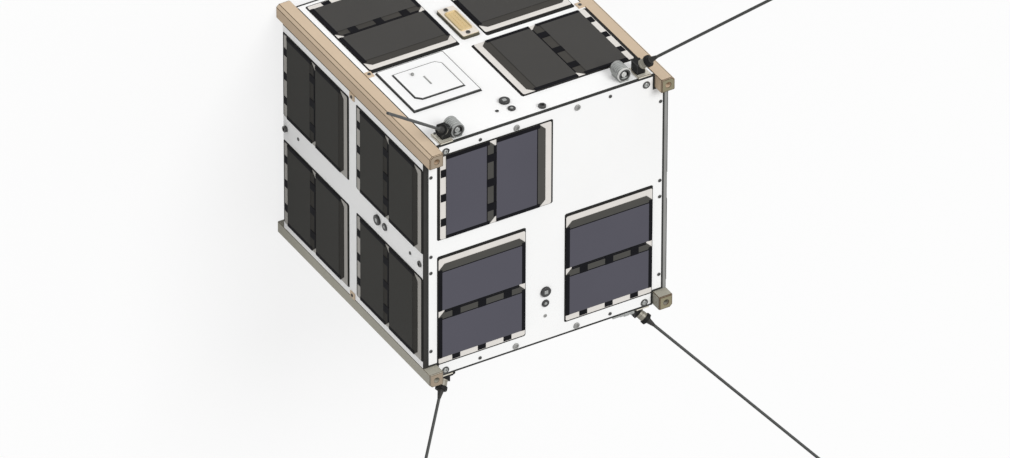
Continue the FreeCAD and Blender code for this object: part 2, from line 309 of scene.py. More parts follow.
def material(name, color, roughness=0.5, metallic=0.0, specular=0.5, vary=0.03, scale=300.0, bump=0.04,
             coat=0.0):
    """A procedural finish: colour and roughness drift with noise, and a fine grain bumps the surface."""
    mat = bpy.data.materials.new(name)
    mat.use_nodes = True
    tree = mat.node_tree
    tree.nodes.clear()
    out = tree.nodes.new("ShaderNodeOutputMaterial")
    shader = tree.nodes.new("ShaderNodeBsdfPrincipled")
    coords = tree.nodes.new("ShaderNodeTexCoord")
    drift = tree.nodes.new("ShaderNodeTexNoise")
    fine = tree.nodes.new("ShaderNodeTexNoise")
    shade = tree.nodes.new("ShaderNodeValToRGB")
    rough = tree.nodes.new("ShaderNodeMapRange")
    relief = tree.nodes.new("ShaderNodeBump")
    link = tree.links.new
    drift.inputs["Scale"].default_value = scale * 0.08
    drift.inputs["Detail"].default_value = 4.0
    fine.inputs["Scale"].default_value = scale * 4
    fine.inputs["Detail"].default_value = 3.0
    link(coords.outputs["Object"], drift.inputs["Vector"])
    link(coords.outputs["Object"], fine.inputs["Vector"])
    low = [max(0.0, c * (1 - vary)) for c in color]
    high = [min(1.0, c * (1 + vary)) for c in color]
    shade.color_ramp.elements[0].position = 0.3
    shade.color_ramp.elements[0].color = (*low, 1)
    shade.color_ramp.elements[1].position = 0.7
    shade.color_ramp.elements[1].color = (*high, 1)
    link(drift.outputs["Fac"], shade.inputs["Fac"])
    link(shade.outputs["Color"], shader.inputs["Base Color"])
    rough.inputs["To Min"].default_value = max(0.02, roughness * (1 - GRAIN))
    rough.inputs["To Max"].default_value = min(1.0, roughness * (1 + GRAIN))
    link(fine.outputs["Fac"], rough.inputs["Value"])
    link(rough.outputs["Result"], shader.inputs["Roughness"])
    relief.inputs["Strength"].default_value = bump
    relief.inputs["Distance"].default_value = 0.0002
    link(fine.outputs["Fac"], relief.inputs["Height"])
    link(relief.outputs["Normal"], shader.inputs["Normal"])
    shader.inputs["Metallic"].default_value = metallic
    shader.inputs["Specular IOR Level"].default_value = specular
    if coat:
        shader.inputs["Coat Weight"].default_value = coat
        shader.inputs["Coat Roughness"].default_value = COAT_ROUGHNESS
    link(shader.outputs["BSDF"], out.inputs["Surface"])
    return mat


def lined(mat, axis_scale, pitch, depth, tint):
    """Cross a finish with fine parallel lines, such as a cell's grid fingers or a laminate's weave."""
    tree = mat.node_tree
    link = tree.links.new
    shader = next(n for n in tree.nodes if n.type == "BSDF_PRINCIPLED")
    coords = next(n for n in tree.nodes if n.type == "TEX_COORD")
    old = shader.inputs["Base Color"].links[0].from_socket
    total = None
    for axis, weight in enumerate(axis_scale):
        if not weight:
            continue
        wave = tree.nodes.new("ShaderNodeTexWave")
        wave.bands_direction = "XYZ"[axis]
        wave.inputs["Scale"].default_value = math.pi / 10 / pitch
        link(coords.outputs["Object"], wave.inputs["Vector"])
        ramp = tree.nodes.new("ShaderNodeMapRange")
        ramp.inputs["From Min"].default_value = 0.75
        ramp.inputs["From Max"].default_value = 1.0
        ramp.inputs["To Max"].default_value = depth * weight
        link(wave.outputs["Fac"], ramp.inputs["Value"])
        if total is None:
            total = ramp.outputs["Result"]
        else:
            add = tree.nodes.new("ShaderNodeMath")
            add.operation = "MAXIMUM"
            link(total, add.inputs[0])
            link(ramp.outputs["Result"], add.inputs[1])
            total = add.outputs["Value"]
    mix = tree.nodes.new("ShaderNodeMix")
    mix.data_type = "RGBA"
    mix.inputs[7].default_value = (*tint, 1)
    link(total, mix.inputs[0])
    link(old, mix.inputs[6])
    link(mix.outputs[2], shader.inputs["Base Color"])
    return mat


def make_materials():
    """Every finish on the object, by name."""
    made = {
        "paint": material("white_paint", (0.925, 0.925, 0.92), 0.6, vary=0.012, scale=260, bump=0.05,
                          specular=0.1),
        "edge": material("bare_edge", (0.030, 0.030, 0.028), 0.6, vary=0.12, scale=500, specular=0.1),
        "line": material("edge_seal", (0.035, 0.036, 0.034), 0.6, vary=0.10, scale=500, specular=0.1),
        # The side panels' bare ends in two tones of one finish: dark on the left panel, painted shade, and
        # grey on the right panel, painted light.
        "left_edge": material("panel_left_edge", (0.038, 0.037, 0.035), 0.5, vary=0.08, scale=500,
                              specular=0.1),
        "right_edge": material("panel_right_edge", (0.28, 0.28, 0.27), 0.5, vary=0.08, scale=500,
                               specular=0.2),
        "board": material("cream_laminate", (0.74, 0.71, 0.675), 0.6, vary=0.03, scale=600, specular=0.15),
        # The side faces' boards are a darker copy of the cream laminate: painted shade.
        "left_board": material("shaded_laminate", (0.40, 0.385, 0.36), 0.6, vary=0.03, scale=600,
                               specular=0.1),
        # Dark on the boards' walls and eased edges: painted shade along the boards' sides.
        "board_edge": material("board_wall_painted_shade", (0.045, 0.043, 0.040), 0.7, vary=0.06, scale=600,
                               specular=0.1),
        "black": material("black_foil", (0.009, 0.009, 0.011), 0.55, vary=0.15, scale=700, specular=0.03),
        "bar": material("collector_metal", (0.040, 0.038, 0.035), 0.5, vary=0.06, scale=400, bump=0.01,
                        specular=0.03),
        # Painted shade round the boards' feet.
        "bead": material("painted_foot_shade", (0.022, 0.022, 0.021), 0.6, vary=0.15, scale=900, specular=0.05),
        "patch": material("patch_coating", (0.90, 0.90, 0.90), 0.5, vary=0.012, scale=300, specular=0.35),
        # Dark walls of the patch and its base, and the fillets at their feet: painted shade.
        "patch_wall": material("patch_wall", (0.050, 0.052, 0.050), 0.6, vary=0.08, scale=500,
                               specular=0.1),
        "patch_rim": material("patch_rim", (0.13, 0.13, 0.128), 0.6, vary=0.05, scale=500, specular=0.1),
        "gold": material("gold_plating", (0.68, 0.53, 0.29), 0.42, 0.75, vary=0.05, scale=500),
        "gold_rim": material("gold_rim", (0.42, 0.34, 0.20), 0.45, 0.4, vary=0.05, scale=500),
        "flange": material("flange_plating", (0.78, 0.72, 0.64), 0.45, 0.3, vary=0.04, scale=500),
        # Dark greenish walls of the flange, and the ring round its foot: painted shade.
        "flange_wall": material("flange_wall", (0.085, 0.080, 0.055), 0.5, 0.2, vary=0.08, scale=500),
        # Darker copies of the rail finish, painted shade: for the rails' outer sides, for the left rails'
        # ends, and greyer for the front rails.
        "tan_shade": material("chromated_rail_side", (0.565, 0.44, 0.315), 0.55, 0.05, vary=0.05, scale=180,
                              bump=0.06, specular=0.1),
        "tan_end": material("chromated_rail_end", (0.34, 0.275, 0.205), 0.55, 0.05, vary=0.05, scale=180,
                            bump=0.06, specular=0.1),
        "tan": material("chromated_rail", (0.62, 0.49, 0.355), 0.5, 0.05, vary=0.05, scale=180, bump=0.06,
                        specular=0.15),
        "grey_tan": material("chromated_rail_painted_shade", (0.385, 0.37, 0.31), 0.5, 0.05, vary=0.05, scale=180,
                             bump=0.06, specular=0.15),
        "tan_edge": material("chromated_edge", (0.12, 0.085, 0.055), 0.6, 0.0, vary=0.10, scale=300,
                             specular=0.1),
        "olive": material("chromated_foot", (0.26, 0.235, 0.155), 0.55, 0.1, vary=0.08, scale=300,
                          specular=0.15),
        "sensor": material("black_anodised", (0.022, 0.022, 0.022), 0.4, vary=0.15, scale=600),
        "lens": material("sensor_window", (0.30, 0.31, 0.30), 0.12, vary=0.05, scale=300, bump=0.0,
                         coat=0.5),
        "steel": material("turned_steel", (0.36, 0.37, 0.36), 0.35, 0.8, vary=0.06, scale=700, bump=0.08),
        # A lighter copy of the turned steel, for the right connectors' lip and core: painted light.
        "painted_light_steel": material("steel_painted_light", (0.62, 0.62, 0.60), 0.35, 0.6, vary=0.05, scale=700),
        "dark_steel": material("blackened_steel", (0.07, 0.07, 0.068), 0.4, 0.5, vary=0.12, scale=700),
        "screw": material("grey_screw", (0.30, 0.30, 0.29), 0.45, 0.4, vary=0.10, scale=700),
        "ferrule": material("ferrule_steel", (0.034, 0.033, 0.031), 0.5, 0.1, vary=0.08, scale=700,
                            specular=0.2),
        "sleeve": material("plated_sleeve", (0.25, 0.235, 0.195), 0.45, 0.3, vary=0.06, scale=700),
        "whip": material("coated_whip", (0.060, 0.062, 0.060), 0.5, 0.1, vary=0.08, scale=900, bump=0.05,
                         specular=0.2),
        "block": material("black_polymer", (0.012, 0.012, 0.012), 0.55, vary=0.15, scale=500,
                          specular=0.12),
        "shoe": material("chromated_shoe", (0.66, 0.63, 0.54), 0.45, 0.3, vary=0.05, scale=400),
        "equipment": material("equipment_grey", (0.36, 0.36, 0.36), 0.5, 0.3, vary=0.05, scale=100),
    }
    lined(made["board"], (1, 1, 1), 0.0009, 0.16, (0.60, 0.56, 0.48))
    # The darker weave tint of the side faces' boards is painted shade as well.
    lined(made["left_board"], (1, 1, 1), 0.0009, 0.16, (0.30, 0.28, 0.24))
    # Cover glass and cell metal take one tone for each face. The back's copies, and the darker copies on
    # the left and right, are the top's finishes darkened as painted shade.
    for source, glass, metal in (
        ("top", (0.091, 0.089, 0.110), (0.076, 0.074, 0.068)),
        ("back", (0.062, 0.060, 0.057), (0.058, 0.055, 0.050)),
        ("left", (0.032, 0.031, 0.027), (0.030, 0.028, 0.024)),
    ):
        made["glass_" + source] = material("cover_glass_" + source, glass, 0.3, vary=0.04, scale=120,
                                           bump=0.005, specular=0.03)
        made["cell_" + source] = material("cell_metal_" + source, metal, 0.45, vary=0.06, scale=400,
                                          bump=0.01, specular=0.03)
    return made


finish = make_materials()


# Making pieces

def piece(name, bm, finishes, replaces=None, smooth=None):
    """One visible object, in the row frame, riding on the body."""
    bmesh.ops.remove_doubles(bm, verts=bm.verts, dist=1e-8)
    bmesh.ops.recalc_face_normals(bm, faces=bm.faces)
    mesh = bpy.data.meshes.new(name)
    bm.to_mesh(mesh)
    bm.free()
    for key in finishes:
        mesh.materials.append(finish[key])
    if smooth is not None:
        mesh.shade_smooth()
        mesh.set_sharp_from_angle(angle=math.radians(smooth))
    obj = bpy.data.objects.new(name, mesh)
    bpy.context.scene.collection.objects.link(obj)
    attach(obj, "root")
    if replaces:
        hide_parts(replaces)
    return obj


def eased(node, name, width, finishes, paint_by=None, pick=None):
    """A copy of a CAD solid whose sharp edges, or those picked, are broken, with a finish along them."""
    bm = bmesh.new()
    bm.from_mesh(nodes[node].data)
    bmesh.ops.remove_doubles(bm, verts=bm.verts, dist=1e-6)
    bmesh.ops.dissolve_limit(bm, angle_limit=math.radians(1), verts=bm.verts, edges=bm.edges)
    bmesh.ops.recalc_face_normals(bm, faces=bm.faces)
    for face in bm.faces:
        face.material_index = paint_by(face) if paint_by else 0
    sharp = [e for e in bm.edges if e.is_manifold and e.calc_face_angle() > math.radians(35)]
    sharp = [e for e in sharp if pick is None or pick(e)]
    bmesh.ops.bevel(bm, geom=sharp, offset=width * MM, segments=1, affect="EDGES", clamp_overlap=True,
                    material=len(finishes) - 1)
    return piece(name, bm, finishes, node)


def on_faces(name, build, finishes, faces=FACES, smooth=None, node=None):
    """A piece for each face, built by a function that is given the mesh and the face's own source."""
    for face in faces:
        bm = bmesh.new()
        build(bm, source_of(face))
        if not bm.verts:
            bm.free()
            continue
        bm.transform(face_matrix(face))
        replaces = node + "_" + face if node else None
        piece(name + "_" + face, bm, finishes, replaces, smooth)


def at_corners(name, build, finishes, node=None, smooth=None):
    """A piece for each corner, built at the right back one."""
    for corner, x_sign, y_sign in CORNERS:
        bm = bmesh.new()
        build(bm)
        bm.transform(corner_matrix(x_sign, y_sign))
        replaces = node + "_" + corner if node else None
        piece(name + "_" + corner, bm, finishes, replaces, smooth)


def added(bm, matrix, build):
    """Build something in a frame of its own, then add it to a mesh."""
    part = bmesh.new()
    build(part)
    part.transform(matrix)
    mesh = bpy.data.meshes.new("scratch")
    part.to_mesh(mesh)
    part.free()
    bm.from_mesh(mesh)
    bpy.data.meshes.remove(mesh)


def in_place(bm, place, build):
    """Build something in a module's own frame, then lay it in its place on the face."""
    added(bm, placed(place), build)


# Panels, boards and cells

def side_edge_faces(face):
    """The bare ends of a side panel, which show beside the antenna plate."""
    return 1 if abs(face.normal.z) > 0.9 and face.calc_area() > 100 * MM * MM else 0


def across_face(face):
    """Marks the walls of what lies on a face, by the face's own normal axis."""
    axis = {"top": 2, "back": 1, "left": 0}[source_of(face)]
    return lambda side: 1 if abs(side.normal[axis]) < 0.5 else 0


def outer_edges(face):
    """Picks the edges that lie in a panel's outer plane, but for those that butt against a plate."""
    axis = {"top": 2, "base": 2, "back": 1, "front": 1, "left": 0, "right": 0}[face]
    side = 1 if face in ("top", "back", "right") else -1
    middle = MID if axis == 2 else 0.0
    plane = (middle + side * HALF) * MM
    seams = [(PLATE_TOP - PANEL_WALL) * MM, (FOOT + PANEL_WALL) * MM] if axis == 1 else []

    def pick(edge):
        ends = [v.co for v in edge.verts]
        if any(abs(end[axis] - plane) > 1e-5 for end in ends):
            return False
        return not any(all(abs(end.z - seam) < 1e-5 for end in ends) for seam in seams)
    return pick


def dress_panels():
    """Panels and boards, with eased edges and their bare edges in other finishes. The side faces' boards
    are a darkened copy of the laminate, painted shade, and the side panels' ends carry painted shade on the
    left and painted light on the right.
    """
    for face in FACES:
        sided = face in ("left", "right")
        # The left panel's ends are darkened as painted shade, and the right panel's ends are lightened to
        # grey as painted light.
        edge = "left_edge" if face == "left" else "right_edge"
        eased("panel_" + face, face + "_panel_painted", 0.5, ["paint", edge, "edge"],
              side_edge_faces if sided else None, outer_edges(face))
        board = "left_board" if sided else "board"
        # The boards' walls take the dark board_edge finish, which is painted shade.
        eased("solar_boards_" + face, face + "_boards_laminate", 0.1, [board, "board_edge", "board_edge"],
              across_face(face))


def plate_seal(bm, _face):
    """Dark seal along the antenna plate's outline, over its upper edge."""
    near, far, inner = INNER - 0.3, HALF, HALF - PANEL_WALL
    outline = [(near, -far), (near, -near), (inner, -near), (inner, near), (near, near), (near, far)]
    outline += [(-x, -y) for x, y in outline]
    top = 0.08
    edging(bm, outline, [(-SEAL, 0.0), (-SEAL, top), (top, top), (top, -SEAL), (0.0, -SEAL), (0.0, 0.0)])


def cell_starts():
    """Where the two cells of a module begin, measured along the row."""
    first = -BOARD_LENGTH / 2 + TAB_MARGIN
    return first, first + CELL_LENGTH + CELL_GAP


def cover_glasses(bm, face):
    """A cover glass over each cell, from its start to the busbar."""
    def glasses(part):
        side = CELL_WIDTH / 2 - STRIP_WIDTH
        top = MODULE_TOP + 0.14
        for start in cell_starts():
            slab(part, start + 0.15, start + CELL_LENGTH - BUSBAR, -side, side, MODULE_TOP, top, 0.05)
    for place in PLACES[face]:
        in_place(bm, place, glasses)


def gap_fillers(bm, face):
    """Dark filler in the gap between a module's two cells and along the board's long sides."""
    def filler(part):
        first, second = cell_starts()
        side = CELL_WIDTH / 2 - CELL_CROP
        slab(part, first + CELL_LENGTH, second, -side, side, BOARD_THICKNESS - 0.05, MODULE_TOP - 0.1)
        cell, board, top = CELL_WIDTH / 2, BOARD_WIDTH / 2, MODULE_TOP + 0.2
        for start in (first, second):
            for low, high in ((cell, board), (-board, -cell)):
                slab(part, start, start + CELL_LENGTH - CELL_CROP, low, high, BOARD_THICKNESS, top, 0.05)
    for place in PLACES[face]:
        in_place(bm, place, filler)


def gap_strips(bm, face):
    """Insulating strip along the first cell's end, under the tabs."""
    def strip(part):
        end = cell_starts()[0] + CELL_LENGTH
        side = CELL_WIDTH / 2 - CELL_CROP
        slab(part, end - 1.3, end - 0.05, -side, side, MODULE_TOP, MODULE_TOP + 0.08)
    for place in PLACES[face]:
        if (face, place[2]) != ("back", 180):
            in_place(bm, place, strip)


# How far the bead reaches beyond the board, at the row's start and end, for modules at each angle of a face
# The bead is painted shade round each board's foot. Where it reaches further, it also stands for the
# board's shaded wall.
BEAD_ENDS = {
    ("top", 0): (2.0, 1.6),
    ("top", 90): (1.4, 2.1),
    ("back", 270): (1.4, 3.2),
    ("back", 180): (2.65, 1.6),
    ("left", 0): (2.2, 1.4),
}
BEAD_SIDE = 0.75
BEAD_HEIGHT = 0.2
BEAD_UNDER = 0.1


def board_foot_shade(bm, face):
    """The dark bead round the foot of each board: painted shade along the foot."""
    section = ((0.0, 0.0), (0.0, BEAD_HEIGHT), (0.85, BEAD_HEIGHT), (1.0, BEAD_HEIGHT / 2), (1.0, 0.0))
    length = BOARD_LENGTH / 2 - BEAD_UNDER
    width = BOARD_WIDTH / 2 - BEAD_UNDER
    for place in PLACES[face]:
        start, end = BEAD_ENDS[face, place[2]]

        def bead(part):
            rings = []
            for share, height in section:
                flat = octagon(-length - share * (start + BEAD_UNDER), length + share * (end + BEAD_UNDER),
                               width + share * (BEAD_SIDE + BEAD_UNDER), BOARD_CORNER)
                rings.append([(*point, height) for point in flat])
            loop_loft(part, rings)
        in_place(bm, place, bead)


def finger_bars(bm, face):
    """Fine metal collector bars along the busbar edge of each cell."""
    def bars(part):
        side = CELL_WIDTH / 2 - STRIP_WIDTH
        for start in cell_starts():
            edge = start + CELL_LENGTH - BUSBAR
            slab(part, edge + 0.02, edge + 0.8, -side, side, MODULE_TOP, MODULE_TOP + 0.06)
    for place in PLACES[face]:
        in_place(bm, place, bars)


# Screws

SMALL_SCREWS = {
    "top": [(s * 93.8, v) for s in (-1, 1) for v in (75.0, 6.5, -7.5, -75.4)]
    + [(-80.0, 93.7), (-53.7, 93.7), (52.4, 93.7), (-53.5, -95.6), (53.6, -95.6)],
    "back": [(-30.5, -83.6)],
    "left": [(-78.0, 2.0), (81.7, 1.0)],
}
# Places, with each head's radius and height
GREY_SCREWS = {
    "top": [(u, v, 2.4, 1.0) for u, v in ((-24.2, 93.7), (25.4, 93.7), (-24.2, -95.8), (25.8, -95.8))]
    + [(0.0, -78.0, 1.35, 0.5)],
    "back": [],
    "left": [],
}
DARK_SCREWS = {
    "top": [],
    "back": [(-0.2, -94.6, 2.9, 1.6)],
    "left": [(95.2, 0.0, 2.4, 1.0), (-95.6, 0.5, 2.4, 2.2)],
}
RING_SCREWS = {
    "top": [(s * 81.9, v) for s in (-1, 1) for v in (93.3, -96.0)],
    "back": [],
    "left": [],
}


def small_screws(bm, face):
    for u, v in SMALL_SCREWS[face]:
        socket_screw(bm, u, v, 1.35, 0.5)


def grey_screws(bm, face):
    for u, v, radius, height in GREY_SCREWS[face]:
        socket_screw(bm, u, v, radius, height)


def dark_screws(bm, face):
    for u, v, radius, height in DARK_SCREWS[face]:
        socket_screw(bm, u, v, radius, height)


def ring_screws(bm, face):
    for u, v in RING_SCREWS[face]:
        washer(bm, u, v, 2.9, 1.9, 0.5)


def ring_screw_hearts(bm, face):
    for u, v in RING_SCREWS[face]:
        socket_screw(bm, u, v, 1.8, 0.7)


# Patch antenna, umbilical connector and sensors

def patch_outlines():
    """Outlines of the patch's base and of the patch itself, each with its foot and its top."""
    half = PATCH_SIDE / 2
    x, y, cut = PATCH_WIDTH / 2, PATCH_LENGTH / 2, PATCH_CUT
    base = [(half, half), (-half, half), (-half, -half), (half, -half)]
    patch = [(x, y - cut), (x - cut, y), (-x, y), (-x, cut - y), (cut - x, -y), (x, -y)]
    return [(base, 0.0, PATCH_BASE), (patch, PATCH_BASE, PATCH_TOP)]


def patch_beads(bm, _face):
    """Thin dark fillets round the feet of the patch and its base: painted shade at the feet."""
    def fillets(part):
        for outline, foot, _top in patch_outlines():
            edging(part, outline, [(-0.1, foot), (-0.1, foot + 0.2), (0.2, foot + 0.2), (0.6, foot + 0.04),
                                   (0.6, foot)])
    in_place(bm, (*PATCH_PLACE, 0), fillets)


def patch_rims(bm, _face):
    """Grey rims along the upper edges of the patch and its base."""
    def rims(part):
        for outline, _foot, top in patch_outlines():
            low, high = top - 0.1, top + 0.05
            edging(part, outline, [(-0.6, low), (-0.6, high), (-0.1, high), (-0.1, low)])
    in_place(bm, (*PATCH_PLACE, 0), rims)


def patch_marks(bm, _face):
    """The patch's feed: a coupling slot and a feed pin."""
    def marks(part):
        foot = PATCH_TOP - 0.05
        slab(part, -1.4, 0.0, -5.3, 5.7, foot, PATCH_TOP + 0.08)
        turned(part, [(1.2, foot), (1.2, PATCH_TOP + 1.3), (0.9, PATCH_TOP + 1.6)], (-6.95, 10.7), 20)
    in_place(bm, (*PATCH_PLACE, 0), marks)


def connector_screws(bm, _face):
    """The two screws of the umbilical connector's flange."""
    for v in (-15.8, 15.8):
        socket_screw(bm, -1.0, UMBILICAL_MIDDLE + v, 1.7, 0.7, FLANGE_TOP)


def connector_pins(bm, _face):
    """Two rows of contacts on the floor of the umbilical connector's shell."""
    floor = CONTACT_FLOOR
    profile = [(0.45, floor - 0.05), (0.45, floor + 0.35), (0.3, floor + 0.5)]
    for row in (-1.4, 1.4):
        for index in range(8):
            turned(bm, profile, (row, UMBILICAL_MIDDLE + (index - 3.5) * 2.4), 12)


def umbilical_foot_shade(bm, _face):
    """Thin dark ring round the connector's foot: painted shade."""
    def shade_ring(part):
        flange = octagon(-FLANGE_WIDTH / 2, FLANGE_WIDTH / 2, FLANGE_LENGTH / 2, FLANGE_CORNER)
        edging(part, flange, [(-0.2, 0.0), (-0.2, 0.3), (0.6, 0.3), (0.7, 0.0)])
    in_place(bm, (0.0, UMBILICAL_MIDDLE, 0), shade_ring)


def umbilical_faces(face):
    """The flange's top and walls differ from the gold shell; the walls' dark tone is painted shade."""
    if face.calc_center_median().y > (HALF + FLANGE_TOP + 0.1) * MM:
        return 0
    return 1 if abs(face.normal.y) > 0.5 else 2


def sensor_bodies(bm, face):
    """Round housing with an eased rim and a square window, and the photodiode beside it."""
    def pair(part):
        loft(part, [
            circle(4.0, 0.0, 48), circle(4.0, 1.5, 48), circle(3.85, 1.72, 48), circle(3.6, 1.8, 48),
            circle(2.6, 1.8, 48), circle(2.4, 1.62, 48),
        ])
        diode = [(2.9, 0.0), (2.9, 0.85), (2.7, 1.1), (1.35, 1.1), (1.3, 0.8)]
        turned(part, diode, (SENSOR_SPACING, 0), 40)
    in_place(bm, SENSOR_PLACES[face], pair)


def sensor_windows(bm, face):
    """The housing's square window and the photodiode's lens."""
    def windows(part):
        slab(part, -1.5, 1.5, -1.5, 1.5, 1.55, 1.76, 0.08)
        turned(part, [(1.25, 0.75), (1.2, 0.95), (0.9, 1.12), (0.4, 1.2)], (SENSOR_SPACING, 0), 32)
    in_place(bm, SENSOR_PLACES[face], windows)


# Rails

def rail_faces(face):
    """A rail's end faces and its outer side are darker than its back: painted shade on the outer side and
    on the left rails' ends.
    """
    if abs(face.normal.z) > 0.9:
        return 1
    return 2 if abs(face.normal.x) > 0.9 else 0


def dress_rails():
    """Rails with eased edges: tan at the back, greyer and darker at the front as painted shade, and darker
    at their ends, where the left rails' ends are painted shade.
    """
    for corner, x_sign, y_sign in CORNERS:
        side, shade = ("tan", "tan_shade") if y_sign > 0 else ("grey_tan", "grey_tan")
        end = "tan_end" if x_sign < 0 else "olive"
        eased("rail_" + corner, corner + "_rail_chromated", 0.4, [side, end, shade, "tan_edge"],
              rail_faces)


LUG_ACROSS = 2.6
LUG_ALONG = 3.2
LUG_HEIGHT = 0.8


def lug_places(face):
    """The middles of a face's two lugs, halfway along the rails. The plates have none."""
    if face == "top":
        return []
    middles = [(side * (INNER - LUG_ACROSS), 0.0) for side in (-1, 1)]
    return middles if face == "back" else [(v, u) for u, v in middles]


def rail_lugs(bm, face):
    """Low lugs on the rails' inner sides, beside the modules."""
    across, along = (LUG_ACROSS, LUG_ALONG) if face == "back" else (LUG_ALONG, LUG_ACROSS)
    for u, v in lug_places(face):
        slab(bm, u - across, u + across, v - along, v + along, -0.1, LUG_HEIGHT, 0.2)


def rail_lug_screws(bm, face):
    """A screw in each lug."""
    for u, v in lug_places(face):
        socket_screw(bm, u, v, 1.3, 0.5, LUG_HEIGHT)


# Antenna roots

# The upper outer corner that the block would have uncut, and the middle of its canted face
ROOT_CORNER = Vector((HALF - SHOE_INSET - BLOCK_SIDE_GAP, HALF + SHOE_HEIGHT + BLOCK_HEIGHT,
                      PLATE_TOP - BLOCK_NEAR_GAP))
RUN = Vector(WHIP_RUN).normalized()
SEAT = ROOT_CORNER - Vector((1 / RUN.x, 1 / RUN.y, 1 / RUN.z)) * (BLOCK_CUT / 3)
WHIP_MATRIX = Matrix.Translation(SEAT) @ Vector((0, 0, 1)).rotation_difference(RUN).to_matrix().to_4x4()


def whip_sleeve(bm):
    """Plated sleeve against the block's canted face."""
    turned(bm, [(3.5, 0.0), (3.5, 1.2), (3.3, 1.4), (3.3, 1.8), (3.5, 2.0), (3.5, 4.9)], count=40)
    bm.transform(WHIP_MATRIX)


def whip_collar(bm):
    """Black knurled collar that clamps the sleeve."""
    count = 48
    rings = []
    for radius, height, knurl in ((4.1, 4.9, 0), (4.4, 5.2, 1), (4.4, 7.6, 1), (4.1, 7.9, 0)):
        ring = []
        for i in range(count):
            angle = 2 * math.pi * i / count
            r = radius - (0.22 if knurl and i % 2 else 0.0)
            ring.append((r * math.cos(angle), r * math.sin(angle), height))
        rings.append(ring)
    loft(bm, rings)
    bm.transform(WHIP_MATRIX)


def whip_ferrule(bm):
    """Tapering ferrule with a ring at its foot."""
    turned(bm, [(2.7, 7.8), (2.7, 8.6), (2.2, 8.9), (1.2, 14.1), (1.05, 14.4)], count=40)
    bm.transform(WHIP_MATRIX)


def whip_rod(bm):
    """The whip's straight rod, with a rounded tip."""
    radius = WHIP_RADIUS
    tip = WHIP_LENGTH - radius
    turns = [math.pi * i / 12 for i in range(1, 6)]
    profile = [(radius, 13.9), (radius, tip)]
    profile += [(radius * math.cos(turn), tip + radius * math.sin(turn)) for turn in turns]
    turned(bm, profile, count=24)
    bm.transform(WHIP_MATRIX)


def stout_matrix(x_sign):
    """From a turned profile that runs away from the antenna plate to the connector's place."""
    place = Vector((x_sign * (HALF - STOUT_INSETS[x_sign]), HALF + STOUT_AXIS, PLATE_TOP - STOUT_NEAR_GAP))
    return SCALE @ Matrix.Translation(place) @ Matrix.Rotation(math.pi, 4, "Y")


def stout_shell(bm):
    """Ribbed coupling ring with an open mouth."""
    profile = [(3.5, 2.4), (3.5, 0.1), (5.0, 0.1), (5.2, 0.4), (5.2, 1.6)]
    height = 2.0
    while height < 10.0:
        profile += [(4.95, height), (4.95, height + 0.5), (5.4, height + 0.7), (5.4, height + 1.5)]
        height += 1.9
    profile += [(5.2, STOUT_LENGTH - 0.6), (4.8, STOUT_LENGTH)]
    turned(bm, profile, count=48)


def stout_lip(bm):
    """Bright lip round the mouth."""
    section = ((4.7, 0.3), (4.7, -0.1), (5.3, -0.1), (5.4, 0.1), (5.4, 1.2), (5.1, 1.2))
    loop_loft(bm, [circle(radius, height, 48) for radius, height in section])


def stout_core(bm):
    """Pale insulator and contact inside the mouth."""
    turned(bm, [(2.1, 2.6), (2.1, 0.9), (1.9, 0.7), (0.8, 0.7), (0.7, 0.3), (0.4, 0.2)], count=32)


def stout_well(bm):
    """Dark seal on the mouth's edge, down to the bottom round the insulator."""
    section = ((4.75, 0.2), (4.75, 0.0), (3.45, 0.0), (3.45, 2.1), (1.9, 2.1), (1.9, 2.45), (3.55, 2.45),
               (3.55, 0.2))
    loop_loft(bm, [circle(radius, height, 48) for radius, height in section])


def stout_foot(bm):
    """The foot that holds the connector on the panel, in the connector's own frame."""
    half = STOUT_FOOT_WIDTH / 2
    slab(bm, -half, half, -STOUT_AXIS, -2.0, 0.2, STOUT_LENGTH - 0.2)


def slim_parts(bm, sign):
    """A thin connector with its crimp rings, along X from the root block inboard."""
    length = SLIM_LENGTHS[sign]
    profile = [(2.2, 0.0), (2.6, 0.3), (2.6, 2.6), (2.1, 2.9)]
    if length > 10:
        profile += [(2.1, 4.0), (2.5, 4.3), (2.5, 8.0), (1.9, 8.4), (1.9, 11.0), (1.6, 11.4), (1.6, length)]
    else:
        profile += [(2.1, length - 0.3), (1.8, length)]
    turned(bm, profile, count=32)
    place = Vector((sign * (ROOT_CORNER.x - BLOCK_WIDTH), -HALF - SLIM_AXIS, PLATE_TOP - SLIM_NEAR_GAP))
    bm.transform(SCALE @ Matrix.Translation(place) @ Matrix.Rotation(-sign * math.pi / 2, 4, "Y"))


def dress_connectors():
    """The stout connectors of the back and the slim ones of the front. The same parts are lighter on the
    right and darker on the left, where the slim one is black: painted light and painted shade.
    """
    for side, sign, bright, slim in (("right", 1, "painted_light_steel", "steel"), ("left", -1, "steel", "block")):
        for name, build, key in (
            ("shell", stout_shell, "steel"),
            ("lip", stout_lip, bright),
            ("core", stout_core, bright),
            ("well", stout_well, "dark_steel"),
            ("foot", stout_foot, "steel"),
        ):
            bm = bmesh.new()
            build(bm)
            bm.transform(stout_matrix(sign))
            replaces = "antenna_connector_" + side + "_back" if name == "shell" else None
            piece("connector_" + name + "_" + side + "_back", bm, [key], replaces, 40)
        bm = bmesh.new()
        slim_parts(bm, sign)
        piece("connector_" + side + "_front_turned", bm, [slim],
              "antenna_connector_" + side + "_front", 40)


def shoe_screws(bm):
    """Two screws that hold the shoe down on the panel, beyond the block."""
    def screws(part):
        for inset in (16.7, 21.8):
            socket_screw(part, HALF - inset, 12.8 - PLATE_TOP, 1.0, 0.5, SHOE_HEIGHT)
    added(bm, Matrix(((1, 0, 0, 0), (0, 0, 1, HALF), (0, -1, 0, 0), (0, 0, 0, 1))), screws)


# The whole dress

